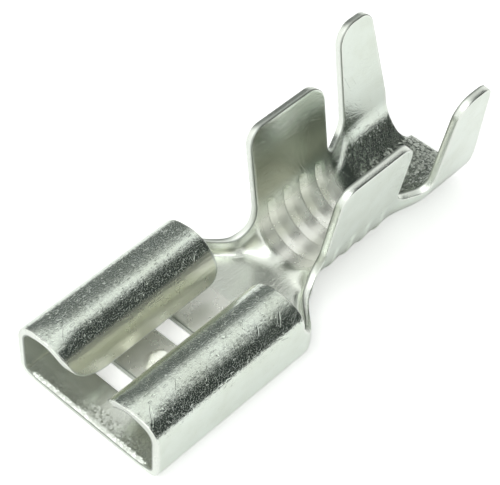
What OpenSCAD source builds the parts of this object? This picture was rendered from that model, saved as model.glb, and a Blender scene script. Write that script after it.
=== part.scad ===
// Female blade crimp terminal, stamped and folded from one plated sheet.
// X runs from the blade mouth to the cut end, Y across, Z up from the surface it lies on.

/* [Sheet] */
// Thickness of the sheet
sheet_t = 0.35; // [0.3:0.01:0.4]

/* [Receptacle] */
// Length of the receptacle
box_l = 7.95; // [7:0.05:9]
// Width across the outer walls
box_w = 7.5; // [7.2:0.05:9]
// Height over the rolled sides
box_h = 3.05; // [2.8:0.05:3.6]
// Outside radius from floor to wall
corner_r = 0.6; // [0.5:0.05:0.8]
// Outside radius from wall to the top of a roll
shoulder_r = 1; // [0.8:0.05:1.2]
// Outside radius of a roll's turn down to its lip
curl_r = 1.4; // [1:0.05:1.5]
// Gap between the two lips
lip_gap = 1.7; // [1.2:0.05:2]
// Free height between floor and lips, where the blade goes in
blade_gap = 0.7; // [0.5:0.05:0.8]
// Radius on the lips' front corners
lip_front_r = 1.6; // [1:0.05:1.65]
// Radius on the lips' rear corners
lip_rear_r = 0.6; // [0.4:0.05:0.8]
// Length of the bevel that leads the blade in
lead_in_l = 0.2; // [0.15:0.05:0.5]
// Depth of that bevel
lead_in_d = 0.1; // [0.05:0.01:0.2]

/* [Floor of the receptacle] */
// Distance from the mouth to the middle of the bridge
bridge_x = 3.78; // [3.5:0.01:4]
// Length of the bridge between the two slots
bridge_l = 2.24; // [1.8:0.02:2.4]
// Size of a slot along the terminal
slot_l = 0.93; // [0.7:0.01:1]
// Size of a slot across the terminal
slot_w = 4.4; // [3.6:0.1:5]
// Diameter of the dimple on the bridge
dimple_d = 1; // [0.8:0.05:1.4]
// Height of the dimple
dimple_h = 0.22; // [0.16:0.01:0.28]

/* [Neck] */
// Length from the receptacle to the wire wings
neck_l = 3.15; // [2.8:0.05:3.6]
// Height of the neck's side walls
neck_h = 0.97; // [0.8:0.01:1.1]
// Width to which the neck narrows
neck_w = 4.2; // [3.8:0.1:4.8]
// Outside radius from the neck's floor to its side walls
neck_corner_r = 0.8; // [0.6:0.05:1.2]
// Length of the full-width stretch before the neck narrows
neck_lead = 0.2; // [0.1:0.05:0.4]
// Length over which the neck narrows
neck_narrow_l = 2.25; // [2:0.05:2.5]
// Length over which the neck's floor rounds into the barrel
neck_round_l = 0.9; // [0.6:0.05:1.4]
// Radius of the side cut-outs at the receptacle
neck_front_r = 1.65; // [1.2:0.05:1.8]
// Radius of the side cut-outs at the wire wings
neck_rear_r = 1.4; // [1.2:0.05:1.8]

/* [Wire barrel] */
// Length of the wire wings
wire_l = 4.35; // [4:0.05:5]
// Inside radius of the wire barrel
wire_r = 1.62; // [1.5:0.02:1.8]
// Height over the wire wings
wire_h = 6.05; // [5.4:0.05:6.6]
// Angle by which each wire wing leans out
wire_splay = 9; // [5:0.5:12]
// Radius on the front corners of the wire wings
wire_front_r = 0.75; // [0.5:0.05:1]
// Radius on the rear corners of the wire wings
wire_rear_r = 0.9; // [0.5:0.05:1.2]
// Number of serrations across the barrel
serration_n = 4; // [2:1:4]
// Distance between serrations
serration_pitch = 0.97; // [0.9:0.01:1.05]
// Distance from the last serration to the rear edge of the wire wings
serration_rear = 0.64; // [0.4:0.01:0.8]
// Width of a serration's groove
serration_w = 0.4; // [0.36:0.02:0.54]
// Depth of a serration's groove
serration_d = 0.1; // [0.06:0.01:0.14]

/* [Insulation barrel] */
// Distance between the wire wings and the insulation wings
wing_gap = 1.7; // [1.4:0.05:2]
// Height of the wall below that gap
gap_floor = 2.1; // [1.9:0.05:2.4]
// Radius in the gap's lower corners
gap_r = 0.65; // [0.4:0.05:0.7]
// Length of the insulation wings where they leave the barrel
grip_l = 2.7; // [2.4:0.05:3.2]
// Length lost along the rear edge, up to the wing's tip
grip_taper = 0.65; // [0.3:0.05:0.9]
// Inside radius of the insulation barrel
grip_r = 2.25; // [2.1:0.05:2.5]
// Height over the insulation wings
grip_h = 7.2; // [6.6:0.1:7.8]
// Angle by which each insulation wing leans out
grip_splay = 9; // [5:0.5:12]
// Radius on the front corners of the insulation wings
grip_front_r = 0.9; // [0.6:0.05:1]
// Radius on the rear corners of the insulation wings
grip_rear_r = 0.7; // [0.4:0.05:0.9]

/* [Cut end] */
// Length of the stub left where the strip was cut off
stub_l = 0.75; // [0.65:0.05:1]
// Width of the stub
stub_w = 2.3; // [1.8:0.05:2.6]
// Radius in the corners beside the stub
stub_r = 0.6; // [0.4:0.05:0.6]

/* [Hidden] */
$fn = 64;

// Stations along the terminal
neck_x = box_l;
wire_x = neck_x + neck_l;
gap_x = wire_x + wire_l;
grip_x = gap_x + wing_gap;
stub_x = grip_x + grip_l;
end_x = stub_x + stub_l;

// Room by which cutters pass the faces that they cut
past = 1;

// Outside radii of the barrels, and the lift that puts the serrations' ridges level with the floor
wire_out = wire_r + sheet_t;
grip_out = grip_r + sheet_t;
lift = serration_d;

// The lip's straight run down to the free height, and the flat left on top of a roll
lip_z = sheet_t + blade_gap;
lip_run = box_h - curl_r - lip_z;
roll_flat = (box_w - lip_gap) / 2 - shoulder_r - curl_r;

// A fold is half a floor's width, then the outside radius and angle of the bend up to its wall
box_fold = [box_w / 2 - corner_r, corner_r, 90];
neck_fold = [neck_w / 2 - neck_corner_r, neck_corner_r, 90];
wire_fold = [0, wire_out, 90 - wire_splay];
grip_fold = [0, grip_out, 90 - grip_splay];
flat_fold = [box_w, 0, 0];

// A roll on top of a wall: straight runs, each with the outside radius of the square bend after it
roll_steps = [[0, shoulder_r], [roll_flat, curl_r], [lip_run, 0]];

// Number of chords from a floor's middle to the end of its bend
base_n = 12;

// Height of the straight side walls, and of the walls where the neck and the gap meet the wire wings
wall_h = box_h - shoulder_r;
gap_top = gap_floor + gap_r;
neck_fit = min(1, 0.97 * neck_l / (neck_front_r + neck_rear_r));
neck_top = min(neck_h + neck_rear_r * neck_fit, gap_top - sheet_t);

// Extrudes a section drawn in Y and Z along X
module along_x(from, length) {
    translate([from, 0, 0]) rotate([90, 0, 90]) linear_extrude(length) children();
}

// Extrudes a side view drawn in X and Z across the whole width
module across_y(width = 2 * box_w) {
    translate([0, width / 2, 0]) rotate([90, 0, 0]) linear_extrude(width) children();
}

// The waste outside a rounded corner whose edges run up and to the right of the origin
module corner_waste(radius, spare) {
    difference() {
        translate([-spare, -spare]) square(radius + spare);
        translate([radius, radius]) circle(radius);
    }
}

// Distance along a strip's outside from the floor's middle up to a height, with one bend and a wall
function arc_len(radius, angle) = radius * angle * PI / 180;
function bend_end(fold) = fold[0] + arc_len(fold[1], fold[2]);
function strip_reach(fold, z) =
    let (run = fold[0], radius = fold[1], angle = fold[2])
    let (bend_rise = radius * (1 - cos(angle)))
    z < bend_rise
        ? run + arc_len(radius, acos(1 - z / radius))
        : bend_end(fold) + (z - bend_rise) / sin(angle);

// Point at a distance along a strip and at a depth into the sheet
function strip_point(fold, dist, depth) =
    let (run = fold[0], radius = fold[1], angle = fold[2])
    let (turn = radius == 0 ? 0 : min(max(dist - run, 0) / radius * 180 / PI, angle))
    let (wall = radius == 0 ? 0 : max(dist - bend_end(fold), 0))
    [
        min(dist, run) + (radius - depth) * sin(turn) + wall * cos(turn),
        radius - (radius - depth) * cos(turn) + wall * sin(turn)
    ];

// Points across a strip, outside then inside, at signed distances from the floor's middle
function strip_lines(fold, dists, z = 0) = [
    for (depth = [0, sheet_t]) [
        for (d = dists)
        let (p = strip_point(fold, abs(d), depth))
        [d < 0 ? -p[0] : p[0], p[1] + z]
    ]
];

// Distances of the chords' ends on a floor and its bend, squeezed where the strip is cut off low
function base_marks(fold, reach) =
    let (run = fold[0], end = bend_end(fold))
    let (squeeze = min(1, 0.85 * reach / end))
    [
        for (k = [0:base_n])
        let (t = 2 * k / base_n)
        squeeze * (run == 0 ? end * t / 2 : t < 1 ? run * t : mix(run, end, t - 1))
    ];
function full_marks(fold, reach) = concat(base_marks(fold, reach), [reach]);

// Smooth step from 0 to 1, and blends
function ease(t) = let (u = min(max(t, 0), 1)) u * u * (3 - 2 * u);
function mix(a, b, t) = a * (1 - t) + b * t;
function mix_lines(a, b, t) = [for (f = [0, 1]) [for (j = [0:len(a[0]) - 1]) mix(a[f][j], b[f][j], t)]];

// Both signs of a rising list that starts at 0
function mirrored(list) = concat([for (j = [len(list) - 1:-1:1]) -list[j]], list);
function reversed(list) = [for (j = [len(list) - 1:-1:0]) list[j]];

// Section of a strip up to its last mark
module strip_section(fold, marks, z = 0) {
    lines = strip_lines(fold, mirrored(marks), z);
    polygon(concat(lines[0], reversed(lines[1])));
}

// The strip's section together with the space inside it, and that space alone, open at the top
module filled_section(fold, marks, z) {
    lines = strip_lines(fold, mirrored(marks), z);
    polygon(concat(lines[0], [lines[1][len(lines[1]) - 1], lines[1][0]]));
}
module hollow_section(fold, marks, z) {
    last = len(marks) - 1;
    polygon(strip_lines(fold, mirrored(concat(marks, [marks[last] + past])), z)[1]);
}

// Draws a strip whose bends are square and round, each step from the end of the one before
module bent_strip(steps, i = 0) {
    run = steps[i][0];
    radius = steps[i][1];
    if (run > 0) square([run, sheet_t]);
    if (radius > 0) translate([run, radius]) {
        intersection() {
            difference() {
                circle(radius);
                circle(radius - sheet_t);
            }
            translate([0, -radius]) square(radius);
        }
        rotate(90) translate([0, -radius]) bent_strip(steps, i + 1);
    }
}

// Rolled section of the receptacle: floor and walls, then a roll on either side
module rolled_section() {
    strip_section(box_fold, full_marks(box_fold, strip_reach(box_fold, wall_h)));
    for (side = [0, 1])
        mirror([side, 0]) translate([box_w / 2, wall_h]) rotate(90) bent_strip(roll_steps);
}

// Run along X of a round corner that rises by at most its radius
function corner_run(radius, rise) = sqrt(radius * radius - pow(max(radius - rise, 0), 2));

// Height of a side cut-out with round lower corners, and stations that follow its corners
function notch_height(x, length, low, front_r, front_run, rear_r) =
    let (radius = front_run - x > x - length + rear_r ? front_r : rear_r)
    let (over = max(front_run - x, x - length + rear_r, 0))
    low + radius - sqrt(max(radius * radius - over * over, 0));
function notch_stations(length, front_r, front_run, rear_r, corner_n, middle_n) =
    concat(
        [for (k = [0:corner_n]) front_run - front_r * cos(mix(acos(front_run / front_r), 90, k / corner_n))],
        [for (k = [1:middle_n - 1]) mix(front_run, length - rear_r, k / middle_n)],
        [for (k = [corner_n:-1:0]) length - rear_r * (1 - cos(90 * k / corner_n))]
    );

// A folded sheet through lines of points, each an outside and an inside line at its own X
module sheet_loft(stations, lines) {
    last = len(stations) - 1;
    count = len(lines[0][0]);
    points = [for (k = [0:last]) for (f = [0, 1]) for (p = lines[k][f]) [stations[k], p[0], p[1]]];
    // Index of a point by station, face and place
    function at(k, f, j) = (2 * k + f) * count + j;
    function quad(a, b, c, d) = [[a, b, c], [a, c, d]];
    faces = [
        for (k = [0:last - 1]) for (j = [0:count - 2]) each concat(
            quad(at(k, 0, j), at(k + 1, 0, j), at(k + 1, 0, j + 1), at(k, 0, j + 1)),
            quad(at(k, 1, j), at(k, 1, j + 1), at(k + 1, 1, j + 1), at(k + 1, 1, j))
        ),
        for (k = [0:last - 1]) each concat(
            quad(at(k, 0, 0), at(k, 1, 0), at(k + 1, 1, 0), at(k + 1, 0, 0)),
            quad(at(k, 0, count - 1), at(k + 1, 0, count - 1), at(k + 1, 1, count - 1), at(k, 1, count - 1))
        ),
        for (j = [0:count - 2]) each concat(
            quad(at(0, 0, j), at(0, 0, j + 1), at(0, 1, j + 1), at(0, 1, j)),
            quad(at(last, 0, j), at(last, 1, j), at(last, 1, j + 1), at(last, 0, j + 1))
        )
    ];
    polyhedron(points, faces);
}

// Rolled receptacle with rounded lip corners, before its floor is cut
module receptacle_shell() {
    roll_w = box_w - 2 * shoulder_r;
    spare = blade_gap / 2;
    difference() {
        along_x(0, box_l) rolled_section();
        across_y(roll_w) translate([0, lip_z]) corner_waste(lip_front_r, spare);
        across_y(roll_w) translate([box_l, lip_z]) mirror([1, 0]) corner_waste(lip_rear_r, spare);
    }
}

// Receptacle with its slots, the bevel that leads the blade in, and the dimple that holds it
module receptacle() {
    dimple_ball = (pow(dimple_d / 2, 2) + pow(dimple_h, 2)) / (2 * dimple_h);
    dimple_z = sheet_t + dimple_h - dimple_ball;
    difference() {
        union() {
            receptacle_shell();
            translate([bridge_x, 0, 0]) intersection() {
                translate([0, 0, dimple_z]) sphere(dimple_ball);
                translate([0, 0, sheet_t / 2]) cylinder(h = sheet_t + dimple_h, r = dimple_d);
            }
        }
        translate([bridge_x, 0, dimple_z]) sphere(dimple_ball - sheet_t);
        for (side = [-1, 1])
            translate([bridge_x + side * (bridge_l + slot_l) / 2, 0, sheet_t / 2])
                cube([slot_l, slot_w, 2 * sheet_t], center = true);
        across_y(box_w - 2 * corner_r)
            polygon([[0, sheet_t - lead_in_d], [lead_in_l, sheet_t], [0, sheet_t]]);
    }
}

// Channel that narrows from the receptacle, then rounds into the wire barrel, below its side cut-outs
module neck() {
    front_r = neck_front_r * neck_fit;
    rear_r = neck_top - neck_h;
    front_run = corner_run(front_r, wall_h - neck_h);
    stations = notch_stations(neck_l, front_r, front_run, rear_r, 6, 2);
    lines = [
        for (x = stations)
        let (top = notch_height(x, neck_l, neck_h, front_r, front_run, rear_r))
        let (wide = strip_lines(box_fold, mirrored(full_marks(box_fold, strip_reach(box_fold, top)))))
        let (channel = strip_lines(neck_fold, mirrored(full_marks(neck_fold, strip_reach(neck_fold, top)))))
        let (round_reach = strip_reach(wire_fold, top - lift))
        let (round = strip_lines(wire_fold, mirrored(full_marks(wire_fold, round_reach)), lift))
        mix_lines(
            mix_lines(wide, channel, ease((x - neck_lead) / neck_narrow_l)),
            round,
            ease((x - neck_l + neck_round_l) / neck_round_l)
        )
    ];
    translate([neck_x, 0, 0]) sheet_loft(stations, lines);
}

// One round band under the wire barrel, up to where the leaning wings have left it
module barrel_band(radius, band_r) {
    fade = acos(wire_out / (wire_out + 2 * serration_d));
    start = wire_splay - fade;
    translate([0, 0, wire_out + lift]) rotate([90, 0, 90]) rotate(180 + start)
        rotate_extrude(angle = 180 - 2 * start) translate([radius, 0]) circle(band_r);
}

// Places its children at each serration
module each_serration() {
    first_x = gap_x - serration_rear - (serration_n - 1) * serration_pitch;
    for (k = [0:serration_n - 1]) translate([first_x + k * serration_pitch, 0, 0]) children();
}

// Marks on the wire barrel: its chords, then the tops of the neck, the gap and the wings
function wire_marks() =
    let (tops = [for (z = [neck_top - lift, gap_top - lift, wire_h - lift - sheet_t * sin(wire_splay)])
        strip_reach(wire_fold, z)])
    concat(base_marks(wire_fold, tops[2]), tops);

// Marks on the insulation barrel: its chords, then the gap's half height and top, and the wings' top
function grip_marks() =
    let (low = strip_reach(grip_fold, gap_top - lift), end = bend_end(grip_fold))
    let (high = strip_reach(grip_fold, grip_h - lift - sheet_t * sin(grip_splay)))
    concat(base_marks(grip_fold, high), [mix(end, low, 0.5), low, high]);

// U-shaped wire barrel with rounded wing corners and pressed serrations
module wire_barrel() {
    band_r = (pow(serration_w / 2, 2) + pow(serration_d, 2)) / (2 * serration_d);
    difference() {
        union() {
            along_x(wire_x, wire_l) filled_section(wire_fold, wire_marks(), lift);
            each_serration() barrel_band(wire_out + serration_d - band_r, band_r);
        }
        along_x(wire_x - past, wire_l + 2 * past) hollow_section(wire_fold, wire_marks(), lift);
        each_serration() barrel_band(wire_r + serration_d - band_r, band_r);
        across_y() translate([wire_x, wire_h]) mirror([0, 1]) corner_waste(wire_front_r, past);
        across_y() translate([gap_x, wire_h]) rotate(180) corner_waste(wire_rear_r, past);
    }
}

// Low wall between the two pairs of wings, where the barrel widens
module barrel_step() {
    stations = notch_stations(wing_gap, gap_r, gap_r, gap_r, 5, 2);
    lines = [
        for (x = stations)
        let (top = notch_height(x, wing_gap, gap_floor, gap_r, gap_r, gap_r) - lift)
        let (share = top / (gap_top - lift))
        let (narrow_top = strip_reach(wire_fold, top), wide_top = strip_reach(grip_fold, top))
        let (narrow_mid = strip_reach(wire_fold, share * (neck_top - lift)))
        let (narrow = concat(base_marks(wire_fold, narrow_mid), [narrow_mid, narrow_top]))
        let (wide_base = base_marks(grip_fold, wide_top))
        let (wide = concat(wide_base, [mix(wide_base[base_n], wide_top, 0.5), wide_top]))
        mix_lines(
            strip_lines(wire_fold, mirrored(narrow), lift),
            strip_lines(grip_fold, mirrored(wide), lift),
            ease(x / wing_gap)
        )
    ];
    translate([gap_x, 0, 0]) sheet_loft(stations, lines);
}

// Insulation barrel with tapered wings
module insulation_barrel() {
    tip_x = stub_x - grip_taper;
    difference() {
        along_x(grip_x, grip_l) strip_section(grip_fold, grip_marks(), lift);
        across_y() translate([grip_x, grip_h]) mirror([0, 1]) corner_waste(grip_front_r, past);
        across_y() translate([tip_x, grip_h]) rotate(180) corner_waste(grip_rear_r, past);
        across_y() polygon([
            [stub_x, grip_out],
            [tip_x, grip_h - grip_rear_r],
            [tip_x, grip_h + past],
            [stub_x + past, grip_h + past]
        ]);
    }
}

// Flat stub where the terminal was cut from its strip, with a round corner on either side
module stub() {
    corner_n = 4;
    half_n = base_n / 2;
    root = bend_end(grip_fold) / 2;
    stations = concat([for (k = [0:corner_n]) stub_r * (1 - cos(90 * k / corner_n))], [stub_l]);
    lines = [
        for (x = stations)
        let (left = max(1 - x / stub_r, 0))
        let (half = mix(stub_w / 2, root, 1 - sqrt(1 - left * left)))
        let (marks = mirrored([for (k = [0:half_n]) half * k / half_n]))
        mix_lines(
            strip_lines(grip_fold, marks, lift),
            strip_lines(flat_fold, marks),
            ease(x / stub_l)
        )
    ];
    translate([stub_x, 0, 0]) sheet_loft(stations, lines);
}

// The whole terminal, centred along its length
module terminal() {
    color("#c9cfc4")
        translate([-end_x / 2, 0, 0]) {
            receptacle();
            neck();
            wire_barrel();
            barrel_step();
            insulation_barrel();
            stub();
        }
}

terminal();
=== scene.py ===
"""Looks of a female blade crimp terminal that is stamped and folded from one plated sheet."""

import logging
import math
from dataclasses import dataclass, field
from enum import Enum
from typing import Sequence

import bpy
import numpy as np
from mathutils import Matrix, Vector, kdtree


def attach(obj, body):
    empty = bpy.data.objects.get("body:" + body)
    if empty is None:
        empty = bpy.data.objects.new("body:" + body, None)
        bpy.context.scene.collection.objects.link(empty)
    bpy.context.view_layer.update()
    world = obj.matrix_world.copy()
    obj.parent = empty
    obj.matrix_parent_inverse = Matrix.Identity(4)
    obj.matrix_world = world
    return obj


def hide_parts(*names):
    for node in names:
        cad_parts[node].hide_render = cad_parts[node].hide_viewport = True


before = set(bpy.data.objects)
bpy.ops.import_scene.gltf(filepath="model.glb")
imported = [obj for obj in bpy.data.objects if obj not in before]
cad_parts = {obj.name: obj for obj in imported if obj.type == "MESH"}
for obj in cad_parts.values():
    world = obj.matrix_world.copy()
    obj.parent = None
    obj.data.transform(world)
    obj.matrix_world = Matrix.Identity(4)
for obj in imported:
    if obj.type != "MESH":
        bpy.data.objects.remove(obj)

LOG = logging.getLogger("terminal")
MM = 0.001

TINY = 1e-6

# Thickness of the sheet, and how far the terminal's middle is from its mouth, in millimetres
SHEET_T = 0.35
MIDDLE_X = 10.3

Array = np.ndarray
Colour = tuple[float, float, float, float]
Material = bpy.types.Material
Socket = bpy.types.NodeSocket
Sockets = bpy.types.NodeSocketCollection


class Mark(Enum):
    """Attributes of the sheet's mesh, by the names that the node trees read."""

    DEPTH = "sheet_depth"
    RIM = "rim_distance"
    BARREL = "wire_barrel"
    EDGE = "cut_edge"
    COARSE = "coarse_grain"
    # Satin zones inside, whose brighter colour is partly painted light
    SATIN_AND_PAINTED_LIGHT = "satin_and_painted_light_share"
    # Lips, whose olive colour is partly a painted reflection
    LIP = "lip_share"
    STRETCH = "stretch_share"
    # Painted shade: the colour darkens here to stand in for dark reflections
    PAINTED_SHADE = "painted_shade_share"


def ease(share: Array) -> Array:
    """Smooth step from 0 to 1."""
    held = np.clip(share, 0.0, 1.0)
    return held * held * (3.0 - 2.0 * held)


def blend(first: Array, second: Array, share: Array) -> Array:
    """Mixes two values by a share of the second."""
    return first * (1.0 - share) + second * share


def soft_max(first: Array, second: Array, width: float) -> Array:
    """Larger of two values, with a round joint of a given width between them."""
    near = np.maximum(width - np.abs(first - second), 0.0) / width
    return np.maximum(first, second) + near * near * width * 0.25


def shares(count: int) -> Array:
    """Even shares from the first of some steps up to 1."""
    return np.arange(1, count + 1) / count


def steps(stops: Sequence[float], counts: Sequence[int]) -> Array:
    """Rising values that hit all stops, with a count of even intervals from each stop to the next."""
    parts = [np.linspace(low, high, n + 1)[1:] for low, high, n in zip(stops, stops[1:], counts)]
    return np.concatenate([stops[:1], *parts])


def corner_loss(place: Array, length: float, front_r: float, rear_r: float) -> Array:
    """How far an edge falls away at its two round corners.

    Args:
        place: Places along the edge.
        length: Length of the edge.
        front_r: Radius of the front corner.
        rear_r: Radius of the rear corner.

    Returns:
        Distances from the straight edge.
    """
    front = np.clip(front_r - place, 0.0, front_r)
    rear = np.clip(place - length + rear_r, 0.0, rear_r)
    return front_r - np.sqrt(front_r**2 - front**2) + rear_r - np.sqrt(rear_r**2 - rear**2)


def placed(place: Array, across: Array, height: Array) -> Array:
    """Stacks coordinates into points, with the place repeated over the samples."""
    full = np.broadcast_to(place, across.shape)
    return np.stack([full, across, height], axis=-1)


@dataclass(frozen=True)
class Band:
    """A stretch over which a share changes smoothly."""

    start: float
    width: float

    def grown(self, value: Array) -> Array:
        """Share from 0 before the band to 1 after it."""
        return ease((value - self.start) / self.width)

    def shrunk(self, value: Array) -> Array:
        """Share from 1 before the band to 0 after it."""
        return 1.0 - self.grown(value)


@dataclass(frozen=True)
class Fold:
    """Half of a bent section: half a floor, then a round bend up to a straight wall."""

    run: float
    radius: float
    angle: float
    most: float = 0.85

    @property
    def turn(self) -> float:
        """Angle of the bend in radians."""
        return math.radians(self.angle)

    @property
    def bend_end(self) -> float:
        """Distance along the outside to the end of the bend."""
        return self.run + self.radius * self.turn

    def reach(self, height: Array) -> Array:
        """Distance along the outside up to a height.

        Args:
            height: Heights over the underside of the floor.

        Returns:
            Distances from the middle of the floor.
        """
        rise = self.radius * (1.0 - math.cos(self.turn))
        bent = np.arccos(np.clip(1.0 - height / self.radius, -1.0, 1.0))
        low = self.run + self.radius * bent
        high = self.bend_end + (height - rise) / math.sin(self.turn)
        return np.where(height < rise, low, high)

    def point(self, dist: Array, depth: Array) -> tuple[Array, Array]:
        """Place of points on the section.

        Args:
            dist: Distances along the outside from the middle of the floor.
            depth: Depth into the sheet.

        Returns:
            Distances across and heights.
        """
        turned = np.clip((dist - self.run) / self.radius, 0.0, self.turn)
        wall = np.maximum(dist - self.bend_end, 0.0)
        across = np.minimum(dist, self.run) + (self.radius - depth) * np.sin(turned)
        height = self.radius - (self.radius - depth) * np.cos(turned)
        return across + wall * np.cos(turned), height + wall * np.sin(turned)

    def base(self, share: Array, reach: Array) -> Array:
        """Distances of the samples on the floor and its bend.

        Args:
            share: Shares from 0 in the middle to 1 at the end of the bend.
            reach: Distance at which the strip is cut off, of which the samples take the most at most.

        Returns:
            Distances from the middle of the floor.
        """
        squeeze = np.minimum(1.0, self.most * reach / self.bend_end)
        if self.run == 0:
            return squeeze * self.bend_end * share
        flat = self.run * 2.0 * share
        bent = blend(self.run, self.bend_end, 2.0 * share - 1.0)
        return squeeze * np.where(share < 0.5, flat, bent)


@dataclass(frozen=True)
class BentPath:
    """Section that goes on from the top of a wall in round bends, each a radius and an angle."""

    across: float
    height: float
    bends: tuple[tuple[float, float], ...]

    @property
    def length(self) -> float:
        """Length of all the bends along the outside."""
        return sum(radius * math.radians(angle) for radius, angle in self.bends)

    def point(self, dist: Array, depth: Array) -> tuple[Array, Array]:
        """Place of points on the section, which goes straight down after the last bend.

        Args:
            dist: Distances along the outside from the top of the wall.
            depth: Depths into the sheet.

        Returns:
            Distances across and heights.
        """
        across = np.full(dist.shape, self.across)
        height = np.full(dist.shape, self.height)
        heading = np.full(dist.shape, math.pi / 2)
        passed = 0.0
        start = math.pi / 2
        for radius, angle in self.bends:
            turned = np.clip((dist - passed) / radius, 0.0, math.radians(angle))
            across = across + radius * (np.sin(start + turned) - math.sin(start))
            height = height + radius * (math.cos(start) - np.cos(start + turned))
            heading = heading + turned
            start += math.radians(angle)
            passed += radius * math.radians(angle)
        height = height - np.maximum(dist - passed, 0.0)
        return across - np.sin(heading) * depth, height + np.cos(heading) * depth


@dataclass(frozen=True)
class Notch:
    """Side cut-out with two round lower corners."""

    length: float
    low: float
    front_r: float
    front_run: float
    rear_r: float

    def height(self, place: Array) -> Array:
        """Height of the cut-out's edge.

        Args:
            place: Places along the cut-out.

        Returns:
            One height for each place.
        """
        front = self.front_run - place
        rear = place - self.length + self.rear_r
        radius = np.where(front > rear, self.front_r, self.rear_r)
        over = np.maximum(np.maximum(front, rear), 0.0)
        return self.low + radius - np.sqrt(np.maximum(radius**2 - over**2, 0.0))

    def stations(self, corner_n: int, middle_n: int) -> Array:
        """Places along the length that follow the round corners.

        Args:
            corner_n: Number of intervals on each corner.
            middle_n: Number of intervals between the corners.

        Returns:
            The rising places.
        """
        start = math.acos(self.front_run / self.front_r)
        front = self.front_run - self.front_r * np.cos(np.linspace(start, math.pi / 2, corner_n + 1))
        middle = np.linspace(self.front_run, self.length - self.rear_r, middle_n + 1)[1:-1]
        rear = self.length - self.rear_r * (1.0 - np.cos(np.linspace(math.pi / 2, 0.0, corner_n + 1)))
        return np.concatenate([front, middle, rear])


@dataclass
class SheetGrid:
    """Half a stretch of the folded sheet, as rows along the terminal and samples across it."""

    outside: Array
    inside: Array
    keep: Array | None = None


@dataclass(frozen=True)
class Sampling:
    """Samples across half the sheet, shared by the stretches so that they meet point on point."""

    slot_n: int = 20
    side_n: int = 6
    bend_n: int = 14
    wall_n: int = 8
    rise_n: int = 5
    # Half the slots' width as a share of half the flat floor
    slot_share: float = 2.2 / 3.15

    @property
    def base(self) -> Array:
        """Shares on a floor and its bend."""
        stops = (0.0, 0.5 * self.slot_share, 0.5, 1.0)
        return steps(stops, (self.slot_n, self.side_n, self.bend_n))

    @property
    def flat(self) -> Array:
        """Shares on the first half of the base alone."""
        return self.base[: self.slot_n + self.side_n + 1] / 0.5

    def climb(self, base: Array, wall_top: Array, rise_top: Array | None = None) -> Array:
        """Goes on from a floor and its bend up the wall.

        Args:
            base: Distances on the floor and its bend.
            wall_top: Distances at the top of the low wall that all stretches have.
            rise_top: Distances at the edge of the gap between the wings, on stretches that reach it.

        Returns:
            Distances of all the samples.
        """
        parts = [base, blend(base[:, -1:], wall_top, shares(self.wall_n))]
        if rise_top is not None:
            parts.append(blend(wall_top, rise_top, shares(self.rise_n)))
        return np.concatenate(parts, axis=1)


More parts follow.
